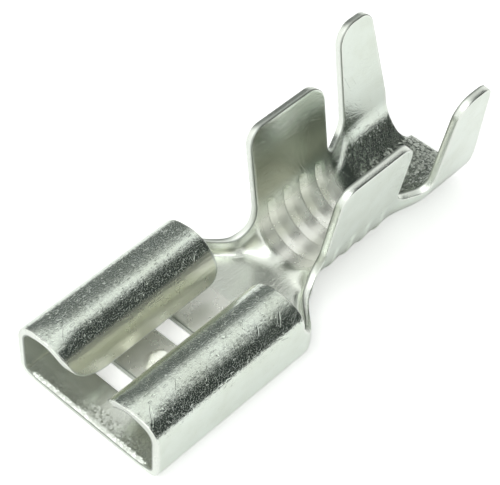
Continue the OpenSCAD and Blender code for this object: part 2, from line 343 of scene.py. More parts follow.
@dataclass(frozen=True)
class Receptacle:
    """Rolled receptacle with its slots, dimple and lead-in bevel."""

    length: float = 7.95
    width: float = 7.5
    wall_h: float = 2.05
    corner_r: float = 0.6
    shoulder_r: float = 0.89
    shoulder_turn: float = 70.0
    curl_r: float = 1.4
    lip_gap: float = 1.7
    lip_z: float = 1.05
    lip_front_r: float = 1.95
    lip_rear_r: float = 0.6
    coined_l: float = 0.85
    coined_d: float = 0.11
    coined_soft: float = 0.2
    coined_rise: Band = Band(-1.0, 0.8)
    coined_fall: Band = Band(0.25, 0.7)
    rim_l: float = 0.12
    rim_d: float = 0.02
    lead_in_l: float = 0.16
    lead_in_d: float = 0.09
    lead_in_fade: float = 0.35
    bridge_x: float = 3.78
    bridge_l: float = 2.24
    slot_l: float = 0.93
    slot_w: float = 4.4
    dimple_d: float = 1.0
    dimple_h: float = 0.35
    dimple_rim: Band = Band(0.86, 0.2)
    ramp_start: float = -1.25
    ramp_l: float = 2.1
    ramp_soft: float = 0.3
    front_stops: tuple[float, ...] = (0.0, 0.01, 0.03, 0.06, 0.1, 0.3, 1.05, 1.55)
    dimple_stops: tuple[float, ...] = (-1.0, 0.6, 1.2)
    rear_stops: tuple[float, ...] = (7.35, 7.87, 7.93)
    row_counts: tuple[int, ...] = (1, 1, 1, 1, 4, 13, 4, 1, 6, 6, 12, 9, 5, 6, 12, 7, 1, 1)
    shoulder_n: int = 15
    crown_n: int = 8
    curl_n: int = 32

    @property
    def fold(self) -> Fold:
        """Section of the floor and side walls."""
        return Fold(self.width / 2 - self.corner_r, self.corner_r, 90.0)

    @property
    def roll(self) -> BentPath:
        """Section of a roll: a shoulder, a flatter crown, and the curl down to the lip.

        Returns:
            The section from the top of the wall.
        """
        turn = math.radians(self.shoulder_turn)
        shoulder = self.shoulder_r * (1.0 - math.cos(turn))
        crown = self.width / 2 - shoulder - self.lip_gap / 2 - self.curl_r
        bends = (
            (self.shoulder_r, self.shoulder_turn),
            (crown / math.cos(turn), 90.0 - self.shoulder_turn),
            (self.curl_r, 90.0),
        )
        return BentPath(self.width / 2, self.wall_h, bends)

    @property
    def crest(self) -> float:
        """Distance along a roll to its highest line, where the curl starts."""
        return self.roll.length - self.curl_r * math.pi / 2

    @property
    def slots(self) -> tuple[tuple[float, float], tuple[float, float]]:
        """Start and end of the front slot and of the rear one, along the terminal."""
        front, rear = self.bridge_x - self.bridge_l / 2, self.bridge_x + self.bridge_l / 2
        return (front - self.slot_l, front), (rear, rear + self.slot_l)

    def thinned(self, place: Array, dist: Array) -> Array:
        """How far the outside is coined in at the front, most of all on the rolls.

        Args:
            place: Places along the receptacle.
            dist: Distances along the outside from the top of the wall.

        Returns:
            Depths that the outside loses.
        """
        front = np.clip(1.0 - place / self.coined_l, -self.coined_soft, 1.0)
        front = soft_max(front, np.zeros_like(front), self.coined_soft)
        past = dist - self.crest
        coined = self.coined_d * front * self.coined_rise.grown(past) * self.coined_fall.shrunk(past)
        rim = self.rim_d * np.clip(1.0 - place / self.rim_l, 0.0, 1.0)
        return np.maximum(coined, rim)

    def lip_end(self, place: Array) -> Array:
        """Distance from the curl's start to the lip's edge, with its rounded corners.

        Args:
            place: Places along the receptacle.

        Returns:
            Distances along the outside.
        """
        edge = self.lip_z + corner_loss(place, self.length, self.lip_front_r, self.lip_rear_r)
        turn_z = float(self.roll.point(np.array(self.roll.length), 0.0)[1])
        bent = self.curl_r * np.arccos(np.clip((edge - turn_z) / self.curl_r, 0.0, 1.0))
        return bent + np.maximum(turn_z - edge, 0.0)

    def stations(self) -> Array:
        """Places along the receptacle, close together where its edges curve.

        Returns:
            The rising places.
        """
        front, rear = self.slots
        dimple = [self.bridge_x + stop * self.dimple_d / 2 for stop in self.dimple_stops]
        stops = (*self.front_stops, *front, *dimple, *rear, *self.rear_stops, self.length)
        return steps(stops, self.row_counts)

    def grid(self, across: Sampling) -> SheetGrid:
        """Half of the receptacle.

        Args:
            across: Samples across the sheet.

        Returns:
            Points on both faces of the sheet.
        """
        place = self.stations()[:, None]
        rows = np.zeros_like(place)
        top = self.fold.reach(np.array([[self.wall_h]]))
        base = self.fold.base(across.base, top)
        wall = blend(self.fold.bend_end, top, shares(across.wall_n))
        low = rows + np.concatenate([base, wall], axis=1)
        shoulder_end = self.shoulder_r * math.radians(self.shoulder_turn)
        shoulder = steps((0.0, shoulder_end, self.crest), (self.shoulder_n, self.crown_n))[1:]
        curl = self.crest + self.lip_end(place) * shares(self.curl_n)
        roll = np.concatenate([rows + shoulder, curl], axis=1)
        faces = []
        for depth in (0.0, SHEET_T):
            outer = 1.0 - depth / SHEET_T
            low_y, low_z = self.fold.point(low, depth + outer * self.thinned(place, low - top))
            low_z = self.formed(place, low_y, low_z, depth)
            roll_y, roll_z = self.roll.point(roll, depth + outer * self.thinned(place, roll))
            y = np.concatenate([low_y, roll_y], axis=1)
            faces.append(placed(place, y, np.concatenate([low_z, roll_z], axis=1)))
        middle = 0.5 * (place[1:, 0] + place[:-1, 0])
        beside = 0.5 * (low[0, 1:] + low[0, :-1]) < self.slot_w / 2
        keep = np.ones((len(middle), faces[0].shape[1] - 1), bool)
        for start, end in self.slots:
            cut = (middle > start) & (middle < end)
            keep[np.ix_(cut, np.flatnonzero(beside))] = False
        return SheetGrid(*faces, keep)

    def formed(self, place: Array, across: Array, height: Array, depth: float) -> Array:
        """Heights of the floor with its dimple and lead-in bevel.

        Args:
            place: Places along the receptacle.
            across: Distances across.
            height: Heights of the plain section.
            depth: Depth into the sheet.

        Returns:
            The new heights.
        """
        radius = self.dimple_d / 2
        ahead = (place - self.bridge_x) / radius
        away = np.hypot(place - self.bridge_x, across) / radius
        ramp = soft_max((ahead - self.ramp_start) / self.ramp_l, np.zeros_like(away), self.ramp_soft)
        bump = self.dimple_h * ramp * self.dimple_rim.shrunk(away)
        height = height + np.where(across < self.slot_w / 2, bump, 0.0)
        bevel = self.lead_in_d * np.clip(1.0 - place / self.lead_in_l, 0.0, 1.0)
        fade = Band(self.width / 2 - self.corner_r - self.lead_in_fade, self.lead_in_fade)
        return height - bevel * fade.shrunk(across) * (depth / SHEET_T)


@dataclass(frozen=True)
class OpenBarrel:
    """Round barrel that is open above, between two wings that lean outwards."""

    inner_r: float
    height: float
    front_r: float
    rear_r: float
    splay: float = 9.0

    @property
    def fold(self) -> Fold:
        """Section of the barrel and its leaning wings."""
        return Fold(0.0, self.inner_r + SHEET_T, 90.0 - self.splay)

    def wing_top(self, place: Array, length: float) -> Array:
        """Height of a wing's edge of a given length, with its rounded corners."""
        lost = corner_loss(place, length, self.front_r, self.rear_r)
        return self.height - lost - SHEET_T * math.sin(math.radians(self.splay))

    def sheet(self, place: Array, dist: Array, lift: float) -> SheetGrid:
        """Both faces of the sheet at distances along the fold, lifted a little."""
        found = [self.fold.point(dist, depth) for depth in (0.0, SHEET_T)]
        return SheetGrid(*(placed(place, y, z + lift) for y, z in found))


@dataclass(frozen=True)
class WireBarrel(OpenBarrel):
    """Barrel for the bared wire, with serrations across its floor."""

    inner_r: float = 1.62
    height: float = 6.05
    front_r: float = 0.75
    rear_r: float = 0.9
    start: float = 11.1
    length: float = 4.35
    lift: float = 0.1
    neck_top: float = 2.37
    gap_top: float = 2.75
    groove_x: float = 0.66
    groove_pitch: float = 0.965
    groove_n: int = 4
    groove_step: float = 0.06
    groove_l: float = 0.36
    groove_d: float = 0.1
    groove_rows: tuple[int, ...] = (1, 3, 7, 7)
    land_gap: float = 0.05
    corner_stops: tuple[float, float] = (0.02, 0.08)
    corner_rows: int = 10
    wing_n: int = 20

    @property
    def end(self) -> float:
        """Place of the barrel's rear end, from the mouth."""
        return self.start + self.length

    def stations(self) -> Array:
        """Places along the barrel, close together at its corners and where the serrations will be.

        Returns:
            The rising places.
        """
        near, far = self.corner_stops
        stops = [0.0, near, far, self.groove_x - self.groove_step - self.land_gap]
        counts = [1, 1, self.corner_rows]
        for number in range(self.groove_n):
            start = self.groove_x + number * self.groove_pitch
            stops += [start - self.groove_step, start, start + self.groove_l]
            stops += [start + self.groove_pitch - self.groove_step - self.land_gap]
            counts += self.groove_rows
        stops[-1] = self.length - far
        counts[-1] = self.corner_rows
        return steps([*stops, self.length - near, self.length], [*counts, 1, 1])

    def grid(self, across: Sampling) -> SheetGrid:
        """Half of the barrel and one wing, before the serrations are pressed.

        Args:
            across: Samples across the sheet.

        Returns:
            Points on both faces of the sheet.
        """
        place = self.stations()[:, None]
        tops = [self.fold.reach(np.array([[z - self.lift]])) for z in (self.neck_top, self.gap_top)]
        low = across.climb(self.fold.base(across.base, tops[0]), *tops)
        top = self.fold.reach(self.wing_top(place, self.length) - self.lift)
        wing = blend(tops[1], top, shares(self.wing_n))
        dist = np.concatenate([np.zeros_like(place) + low, wing], axis=1)
        return self.sheet(place + self.start, dist, self.lift)


@dataclass(frozen=True)
class Neck:
    """Channel that narrows from the receptacle and rounds into the wire barrel."""

    start: float = 7.95
    length: float = 3.15
    low: float = 0.97
    width: float = 4.2
    corner_r: float = 0.8
    lead: float = 0.2
    narrow_l: float = 2.25
    round_l: float = 0.9
    front_r: float = 1.65
    rear_r: float = 1.4
    corner_rows: int = 14
    middle_rows: int = 6

    def grid(self, across: Sampling, mouth: Receptacle, barrel: WireBarrel) -> SheetGrid:
        """Half of the neck.

        Args:
            across: Samples across the sheet.
            mouth: The receptacle in front of it.
            barrel: The wire barrel behind it.

        Returns:
            Points on both faces of the sheet.
        """
        rise = max(self.front_r - mouth.wall_h + self.low, 0.0)
        front_run = math.sqrt(self.front_r**2 - rise**2)
        notch = Notch(self.length, self.low, self.front_r, front_run, self.rear_r)
        place = notch.stations(self.corner_rows, self.middle_rows)[:, None]
        top = notch.height(place)
        narrowed = ease((place - self.lead) / self.narrow_l)
        rounded = ease((place - self.length + self.round_l) / self.round_l)
        channel = Fold(self.width / 2 - self.corner_r, self.corner_r, 90.0)
        faces = []
        for depth in (0.0, SHEET_T):
            wide = self.section(mouth.fold, across, top, depth)
            slim = self.section(channel, across, top, depth)
            bowl = self.section(barrel.fold, across, top - barrel.lift, depth)
            y = blend(blend(wide[0], slim[0], narrowed), bowl[0], rounded)
            z = blend(blend(wide[1], slim[1], narrowed), bowl[1] + barrel.lift, rounded)
            faces.append(placed(place + self.start, y, z))
        return SheetGrid(*faces)

    @staticmethod
    def section(fold: Fold, across: Sampling, top: Array, depth: float) -> tuple[Array, Array]:
        """Points of one fold up to the cut-out's edge, at every station."""
        reach = fold.reach(top)
        return fold.point(across.climb(fold.base(across.base, reach), reach), depth)


@dataclass(frozen=True)
class InsulationBarrel(OpenBarrel):
    """Wider barrel with two taller wings, the step in front of it and the cut stub behind it."""

    inner_r: float = 2.25
    height: float = 7.2
    front_r: float = 0.9
    rear_r: float = 0.7
    step_l: float = 1.7
    gap_floor: float = 2.1
    gap_r: float = 0.65
    length: float = 2.7
    taper: float = 0.65
    stub_l: float = 0.75
    stub_w: float = 2.3
    stub_r: float = 0.6
    step_corner_rows: int = 9
    step_middle_rows: int = 6
    wing_stops: tuple[float, ...] = (0.0, 0.008, 0.03, 0.34, 0.7, 0.97, 0.992, 1.0)
    wing_rows: tuple[int, ...] = (1, 1, 11, 9, 11, 1, 1)
    wing_n: int = 26
    stub_corner_rows: int = 10
    stub_stops: tuple[float, float] = (0.65, 0.7)

    def low_marks(self, across: Sampling, top: Array) -> Array:
        """Distances of the samples up to the gap's edge, which is at one distance for each station."""
        base = self.fold.base(across.base, top)
        return across.climb(base, blend(base[:, -1:], top, 0.5), top)

    def step_grid(self, across: Sampling, barrel: WireBarrel) -> SheetGrid:
        """Half of the step between the two pairs of wings.

        Args:
            across: Samples across the sheet.
            barrel: The wire barrel in front of it.

        Returns:
            Points on both faces of the sheet.
        """
        notch = Notch(self.step_l, self.gap_floor, self.gap_r, self.gap_r, self.gap_r)
        place = notch.stations(self.step_corner_rows, self.step_middle_rows)[:, None]
        top = notch.height(place) - barrel.lift
        share = top / (barrel.gap_top - barrel.lift)
        slim_mid = barrel.fold.reach(share * (barrel.neck_top - barrel.lift))
        base = barrel.fold.base(across.base, slim_mid)
        slim = across.climb(base, slim_mid, barrel.fold.reach(top))
        wide = self.low_marks(across, self.fold.reach(top))
        widened = ease(place / self.step_l)
        faces = []
        for depth in (0.0, SHEET_T):
            slim_y, slim_z = barrel.fold.point(slim, depth)
            wide_y, wide_z = self.fold.point(wide, depth)
            y = blend(slim_y, wide_y, widened)
            z = blend(slim_z, wide_z, widened) + barrel.lift
            faces.append(placed(place + barrel.end, y, z))
        return SheetGrid(*faces)

    def wing_grid(self, across: Sampling, barrel: WireBarrel) -> SheetGrid:
        """Half of the barrel and one tapered wing.

        Args:
            across: Samples across the sheet.
            barrel: The wire barrel in front of it.

        Returns:
            Points on both faces of the sheet.
        """
        share = steps(self.wing_stops, self.wing_rows)[:, None]
        tip_l = self.length - self.taper
        edge = self.fold.reach(self.wing_top(share * tip_l, tip_l) - barrel.lift)
        low_top = self.fold.reach(np.full((len(share), 1), barrel.gap_top - barrel.lift))
        wing = blend(low_top, edge, shares(self.wing_n))
        dist = np.concatenate([self.low_marks(across, low_top), wing], axis=1)
        bowl_h = self.inner_r + SHEET_T
        over = self.fold.point(dist, 0.0)[1] + barrel.lift - bowl_h
        cut = np.clip(over / (self.height - self.rear_r - bowl_h), 0.0, 1.0)
        place = barrel.end + self.step_l + share * (self.length - self.taper * cut)
        return self.sheet(place, dist, barrel.lift)

    def stub_grid(self, across: Sampling, barrel: WireBarrel) -> SheetGrid:
        """Half of the flat stub where the terminal was cut from its strip.

        Args:
            across: Samples across the sheet.
            barrel: The wire barrel, for its end and its lift over the surface it lies on.

        Returns:
            Points on both faces of the sheet.
        """
        low_top = self.fold.reach(np.array([[barrel.gap_top - barrel.lift]]))
        root = float(self.fold.base(np.array([[0.5]]), low_top)[0, 0])
        turn = np.linspace(0.0, math.pi / 2, self.stub_corner_rows + 1)
        corner = self.stub_r * (1.0 - np.cos(turn))
        place = np.concatenate([corner, [*self.stub_stops, self.stub_l]])[:, None]
        left = np.maximum(1.0 - place / self.stub_r, 0.0)
        half = blend(self.stub_w / 2, root, 1.0 - np.sqrt(1.0 - left**2))
        dist = half * across.flat
        flat = ease(place / self.stub_l)
        start = barrel.end + self.step_l + self.length
        faces = []
        for depth in (0.0, SHEET_T):
            y, z = self.fold.point(dist, depth)
            y = blend(y, dist, flat)
            z = blend(z + barrel.lift, depth, flat)
            faces.append(placed(place + start, y, z))
        return SheetGrid(*faces)


@dataclass(frozen=True)
class Noise:
    """A noise pattern: features per metre, number of finer layers, and their strength."""

    scale: float
    detail: float
    rough: float


class NodeSketch:
    """Adds nodes to a tree and joins them."""

    def __init__(self, tree: bpy.types.NodeTree) -> None:
        """Starts on a tree."""
        self.tree = tree

    def node(self, kind: str, **settings: object) -> bpy.types.Node:
        """Adds a node.

        Args:
            kind: The node's type name.
            settings: Properties of the node.

        Returns:
            The new node.
        """
        made = self.tree.nodes.new(kind)
        for name, value in settings.items():
            setattr(made, name, value)
        return made

    def feed(self, target: Socket, source: object) -> None:
        """Joins a socket to an input, or sets the input to a plain value.

        Args:
            target: The input.
            source: A socket or a plain value.
        """
        if isinstance(source, Socket):
            self.tree.links.new(source, target)
        else:
            target.default_value = source

    def fed(self, made: bpy.types.Node, terms: Sequence[object]) -> Sockets:
        """Feeds a node's inputs in their order.

        Args:
            made: The node.
            terms: Sockets or plain values.

        Returns:
            The node's outputs.
        """
        for place, term in enumerate(terms):
            self.feed(made.inputs[place], term)
        return made.outputs

    def math(self, operation: str, *terms: object) -> Socket:
        """Adds a calculation on sockets or plain numbers, in the operation's order."""
        return self.fed(self.node("ShaderNodeMath", operation=operation), terms)[0]

    def vector(self, operation: str, *terms: object) -> Socket:
        """Adds a calculation on vectors, whose result is a vector unless it is a dot product."""
        made = self.node("ShaderNodeVectorMath", operation=operation)
        return self.fed(made, terms)["Value" if operation == "DOT_PRODUCT" else "Vector"]

    def held(self, value: object, top: object) -> Socket:
        """Keeps a value between 0 and a top."""
        return self.math("MINIMUM", self.math("MAXIMUM", value, 0.0), top)

    def spread(self, value: object, low: object, high: object, *to: object) -> Socket:
        """Maps a range smoothly onto another, whose two ends come last."""
        made = self.node("ShaderNodeMapRange", interpolation_type="SMOOTHSTEP")
        return self.fed(made, (value, low, high, *to))[0]

    def split(self, vector: object) -> Sockets:
        """Takes a vector apart into its three parts."""
        return self.fed(self.node("ShaderNodeSeparateXYZ"), (vector,))

    def noise(self, place: object, pattern: Noise) -> Socket:
        """Adds a noise pattern.

        Args:
            place: Coordinates.
            pattern: Size and layers of the noise.

        Returns:
            The noise, about 0.5.
        """
        made = self.node("ShaderNodeTexNoise")
        self.feed(made.inputs["Vector"], place)
        made.inputs["Scale"].default_value = pattern.scale
        made.inputs["Detail"].default_value = pattern.detail
        made.inputs["Roughness"].default_value = pattern.rough
        return made.outputs["Fac"]

    def stretched(self, place: object, scale: Sequence[float], turn: Sequence[float]) -> Socket:
        """Turns and stretches coordinates.

        Args:
            place: Coordinates.
            scale: Factor along each axis.
            turn: Turn about each axis in degrees.

        Returns:
            The new coordinates.
        """
        made = self.node("ShaderNodeMapping", vector_type="TEXTURE")
        self.feed(made.inputs["Vector"], place)
        made.inputs["Rotation"].default_value = [math.radians(angle) for angle in turn]
        made.inputs["Scale"].default_value = scale
        return made.outputs[0]

    def mixed(self, share: object, first: object, second: object) -> Socket:
        """Mixes two colours.

        Args:
            share: Share of the second colour.
            first: A colour or socket.
            second: A colour or socket.

        Returns:
            The mixed colour.
        """
        # The node's colour sockets come after those for numbers and vectors
        made = self.node("ShaderNodeMix", data_type="RGBA")
        self.feed(made.inputs[0], share)
        self.feed(made.inputs[6], first)
        self.feed(made.inputs[7], second)
        return made.outputs[2]

    def attribute(self, mark: Mark) -> Socket:
        """Reads an attribute of the sheet in a material."""
        return self.node("ShaderNodeAttribute", attribute_name=mark.value).outputs["Fac"]

    def named(self, mark: Mark, kind: str = "FLOAT") -> Socket:
        """Reads an attribute of the sheet in a Geometry Nodes tree."""
        made = self.node("GeometryNodeInputNamedAttribute", data_type=kind)
        return self.fed(made, (mark.value,))["Attribute"]


@dataclass(frozen=True)
class SerrationPress:
    """Presses the serrations across the wire barrel with a Geometry Nodes tree."""

    barrel: WireBarrel
    crown: float = 0.018
    fade: float = 0.3
    outside: float = 0.5
    least_r: float = 0.1

    def sizes(self) -> dict[str, float]:
        """Values of the tree's inputs, in metres apart from the count and the share.

        Returns:
            The values under the inputs' names.
        """
        barrel = self.barrel
        return {
            "First Groove": (barrel.start + barrel.groove_x - MIDDLE_X) * MM,
            "Groove Pitch": barrel.groove_pitch * MM,
            "Last Groove": float(barrel.groove_n - 1),
            "Step Length": barrel.groove_step * MM,
            "Ramp Length": barrel.groove_l * MM,
            "Groove Depth": barrel.groove_d * MM,
            "Land Crown": self.crown * MM,
            "Axis Height": (barrel.inner_r + SHEET_T + barrel.lift) * MM,
            "Fade Height": self.fade * MM,
            "Sheet Thickness": SHEET_T * MM,
            "Outside Share": self.outside,
        }

    @staticmethod
    def profile(sketch: NodeSketch, given: Sockets, x: object) -> Socket:
        """Sawtooth grooves with slightly crowned lands between them.

        Args:
            sketch: The tree's nodes.
            given: The tree's inputs.
            x: Places along the terminal.

        Returns:
            How far the floor is pressed down.
        """
        pitch, step, ramp = given["Groove Pitch"], given["Step Length"], given["Ramp Length"]
        along = sketch.math("SUBTRACT", x, given["First Groove"])
        number = sketch.math("FLOOR", sketch.math("DIVIDE", sketch.math("ADD", along, step), pitch))
        number = sketch.held(number, given["Last Groove"])
        past = sketch.math("SUBTRACT", along, sketch.math("MULTIPLY", number, pitch))
        drop = sketch.math("ADD", sketch.math("DIVIDE", past, step), 1.0)
        climb = sketch.math("SUBTRACT", 1.0, sketch.math("DIVIDE", past, ramp))
        dent = sketch.math("MAXIMUM", sketch.math("MINIMUM", drop, climb), 0.0)
        land = sketch.math("SUBTRACT", sketch.math("SUBTRACT", pitch, ramp), step)
        over = sketch.held(sketch.math("DIVIDE", sketch.math("SUBTRACT", past, ramp), land), 1.0)
        swell = sketch.math("SINE", sketch.math("MULTIPLY", over, math.pi))
        push = sketch.math("MULTIPLY", dent, given["Groove Depth"])
        return sketch.math("SUBTRACT", push, sketch.math("MULTIPLY", swell, given["Land Crown"]))

    def tree(self, plated: Material, sheared: Material) -> bpy.types.NodeTree:
        """Builds the tree.

        Args:
            plated: Material of the sheet's faces.
            sheared: Material of its cut edges.

        Returns:
            The Geometry Nodes tree.
        """
        tree = bpy.data.node_groups.new("pressed_serrations", "GeometryNodeTree")
        tree.interface.new_socket("Geometry", in_out="INPUT", socket_type="NodeSocketGeometry")
        for name in self.sizes():
            tree.interface.new_socket(name, in_out="INPUT", socket_type="NodeSocketFloat")
        tree.interface.new_socket("Geometry", in_out="OUTPUT", socket_type="NodeSocketGeometry")
        sketch = NodeSketch(tree)
        given = sketch.node("NodeGroupInput").outputs
        x, y, z = sketch.split(sketch.node("GeometryNodeInputPosition").outputs[0])
        rise = sketch.math("SUBTRACT", z, given["Axis Height"])
        share = sketch.math("DIVIDE", sketch.named(Mark.DEPTH), given["Sheet Thickness"])
        push = self.profile(sketch, given, x)
        for factor in (
            sketch.spread(rise, 0.0, given["Fade Height"], 1.0, 0.0),
            sketch.spread(share, 0.0, 1.0, given["Outside Share"], 1.0),
            sketch.named(Mark.BARREL),
        ):
            push = sketch.math("MULTIPLY", push, factor)
        square = sketch.math("MULTIPLY_ADD", y, y, sketch.math("MULTIPLY", rise, rise))
        radius = sketch.math("MAXIMUM", sketch.math("SQRT", square), self.least_r * MM)
        scale = sketch.math("DIVIDE", push, radius)
        moved = (0.0, sketch.math("MULTIPLY", y, scale), sketch.math("MULTIPLY", rise, scale))
        press = sketch.node("GeometryNodeSetPosition")
        sketch.feed(press.inputs["Geometry"], given["Geometry"])
        sketch.feed(press.inputs["Offset"], sketch.fed(sketch.node("ShaderNodeCombineXYZ"), moved)[0])
        made = sketch.fed(sketch.node("GeometryNodeRealizeInstances"), press.outputs[:1])[0]
        for material, part in ((plated, True), (sheared, sketch.named(Mark.EDGE, "BOOLEAN"))):
            paint = sketch.node("GeometryNodeSetMaterial")
            for name, value in (("Geometry", made), ("Selection", part), ("Material", material)):
                sketch.feed(paint.inputs[name], value)
            made = paint.outputs[0]
        sketch.feed(sketch.node("NodeGroupOutput").inputs[0], made)
        return tree

    def press(self, piece: bpy.types.Object, plated: Material, sheared: Material) -> None:
        """Runs the tree on a piece and keeps the result as its plain mesh.

        Args:
            piece: The folded sheet.
            plated: Material of the sheet's faces.
            sheared: Material of its cut edges.
        """
        tree = self.tree(plated, sheared)
        modifier = piece.modifiers.new("pressed_serrations", "NODES")
        modifier.node_group = tree
        values = self.sizes()
        for item in tree.interface.items_tree:
            if item.in_out == "INPUT" and item.name in values:
                modifier[item.identifier] = values[item.name]
        graph = bpy.context.evaluated_depsgraph_get()
        made = bpy.data.meshes.new_from_object(piece.evaluated_get(graph))
        piece.modifiers.remove(modifier)
        piece.data = made


@dataclass(frozen=True)
class PlatingGrain:
    """Wear and grain that the plated faces and the cut edges share, with scales in features per metre."""

    grain: Noise = Noise(20000.0, 3.0, 0.65)
    crystal: Noise = Noise(8500.0, 3.0, 0.6)
    streak: Noise = Noise(11000.0, 2.0, 0.6)
    pit: Noise = Noise(3600.0, 2.0, 0.5)
    patch: Noise = Noise(620.0, 4.0, 0.62)
    facet_scale: float = 11500.0
    stretch: tuple[float, float, float] = (9.0, 1.0, 1.0)
    scratch_runs: tuple[tuple[tuple[float, float, float], Noise], ...] = (
        ((12.0, 20.0, 8.0), Noise(6800.0, 1.0, 0.4)),
        ((-30.0, -14.0, 47.0), Noise(6000.0, 1.0, 0.4)),
        ((5.0, 60.0, -33.0), Noise(5400.0, 1.0, 0.4)),
    )
    scratch_range: tuple[float, float] = (0.69, 0.75)
    pit_range: tuple[float, float] = (0.64, 0.74)
    patch_range: tuple[float, float] = (0.35, 0.7)
    crystal_height: float = 2.5
    scratch_height: float = -1.3
    pit_height: float = -0.5
    crystal_dulling: float = 0.5
    scratch_dulling: float = 0.4
    pit_dulling: float = 0.3
    patch_dulling: float = 0.6

    def scratches(self, sketch: NodeSketch, place: object) -> Socket:
        """Fine scratches that run in several directions.

        Args:
            sketch: The group's nodes.
            place: Coordinates.

        Returns:
            1 in a scratch and 0 beside it.
        """
        lines = 0.0
        for turn, noise in self.scratch_runs:
            raw = sketch.noise(sketch.stretched(place, self.stretch, turn), noise)
            lines = sketch.math("MAXIMUM", sketch.spread(raw, *self.scratch_range, 0.0, 1.0), lines)
        return lines

    def facets(self, sketch: NodeSketch, place: object) -> Socket:
        """Small flat facets that lean in all directions.

        Args:
            sketch: The group's nodes.
            place: Coordinates.

        Returns:
            Heights over the facets' middles, for a lean of 1.
        """
        cells = sketch.node("ShaderNodeTexVoronoi")
        sketch.feed(cells.inputs["Vector"], place)
        cells.inputs["Scale"].default_value = self.facet_scale
        lean = sketch.vector("SUBTRACT", cells.outputs["Color"], (0.5, 0.5, 0.5))
        from_middle = sketch.vector("SUBTRACT", place, cells.outputs["Position"])
        return sketch.vector("DOT_PRODUCT", lean, from_middle)

    def group(self) -> bpy.types.NodeTree:
        """Builds the shared node group.

        Returns:
            A shader node group that gives a pattern of dull patches, a dulling and a height.
        """
        group = bpy.data.node_groups.new("plating_grain", "ShaderNodeTree")
        group.interface.new_socket("Coordinates", in_out="INPUT", socket_type="NodeSocketVector")
        for name in ("Grain", "Facets", "Crystals", "Streaks", "Scratches"):
            group.interface.new_socket(name, in_out="INPUT", socket_type="NodeSocketFloat")
        for name in ("Patches", "Dulling", "Height"):
            group.interface.new_socket(name, in_out="OUTPUT", socket_type="NodeSocketFloat")
        sketch = NodeSketch(group)
        given = sketch.node("NodeGroupInput").outputs
        place = given["Coordinates"]
        along = sketch.stretched(place, self.stretch, (0.0, 0.0, 0.0))
        grain = sketch.math("SUBTRACT", sketch.noise(place, self.grain), 0.5)
        crystal = sketch.math("SUBTRACT", sketch.noise(place, self.crystal), 0.5)
        streak = sketch.math("SUBTRACT", sketch.noise(along, self.streak), 0.5)
        pits = sketch.spread(sketch.noise(place, self.pit), *self.pit_range, 0.0, 1.0)
        patches = sketch.noise(place, self.patch)
        cut = sketch.math("MULTIPLY", self.scratches(sketch, place), given["Scratches"])
        crystals = sketch.math("MULTIPLY", given["Crystals"], self.crystal_height)
        height = sketch.math("MULTIPLY", grain, given["Grain"])
        for pattern, strength in (
            (self.facets(sketch, place), given["Facets"]),
            (crystal, crystals),
            (streak, given["Streaks"]),
            (cut, self.scratch_height),
            (pits, self.pit_height),
        ):
            height = sketch.math("MULTIPLY_ADD", pattern, strength, height)
        dull = sketch.spread(patches, *self.patch_range, 0.0, self.patch_dulling)
        for pattern, strength in (
            (pits, self.pit_dulling),
            (cut, self.scratch_dulling),
            (given["Crystals"], self.crystal_dulling),
        ):
            dull = sketch.math("MULTIPLY_ADD", pattern, strength, dull)
        sketch.fed(sketch.node("NodeGroupOutput"), (patches, dull, height))
        return group


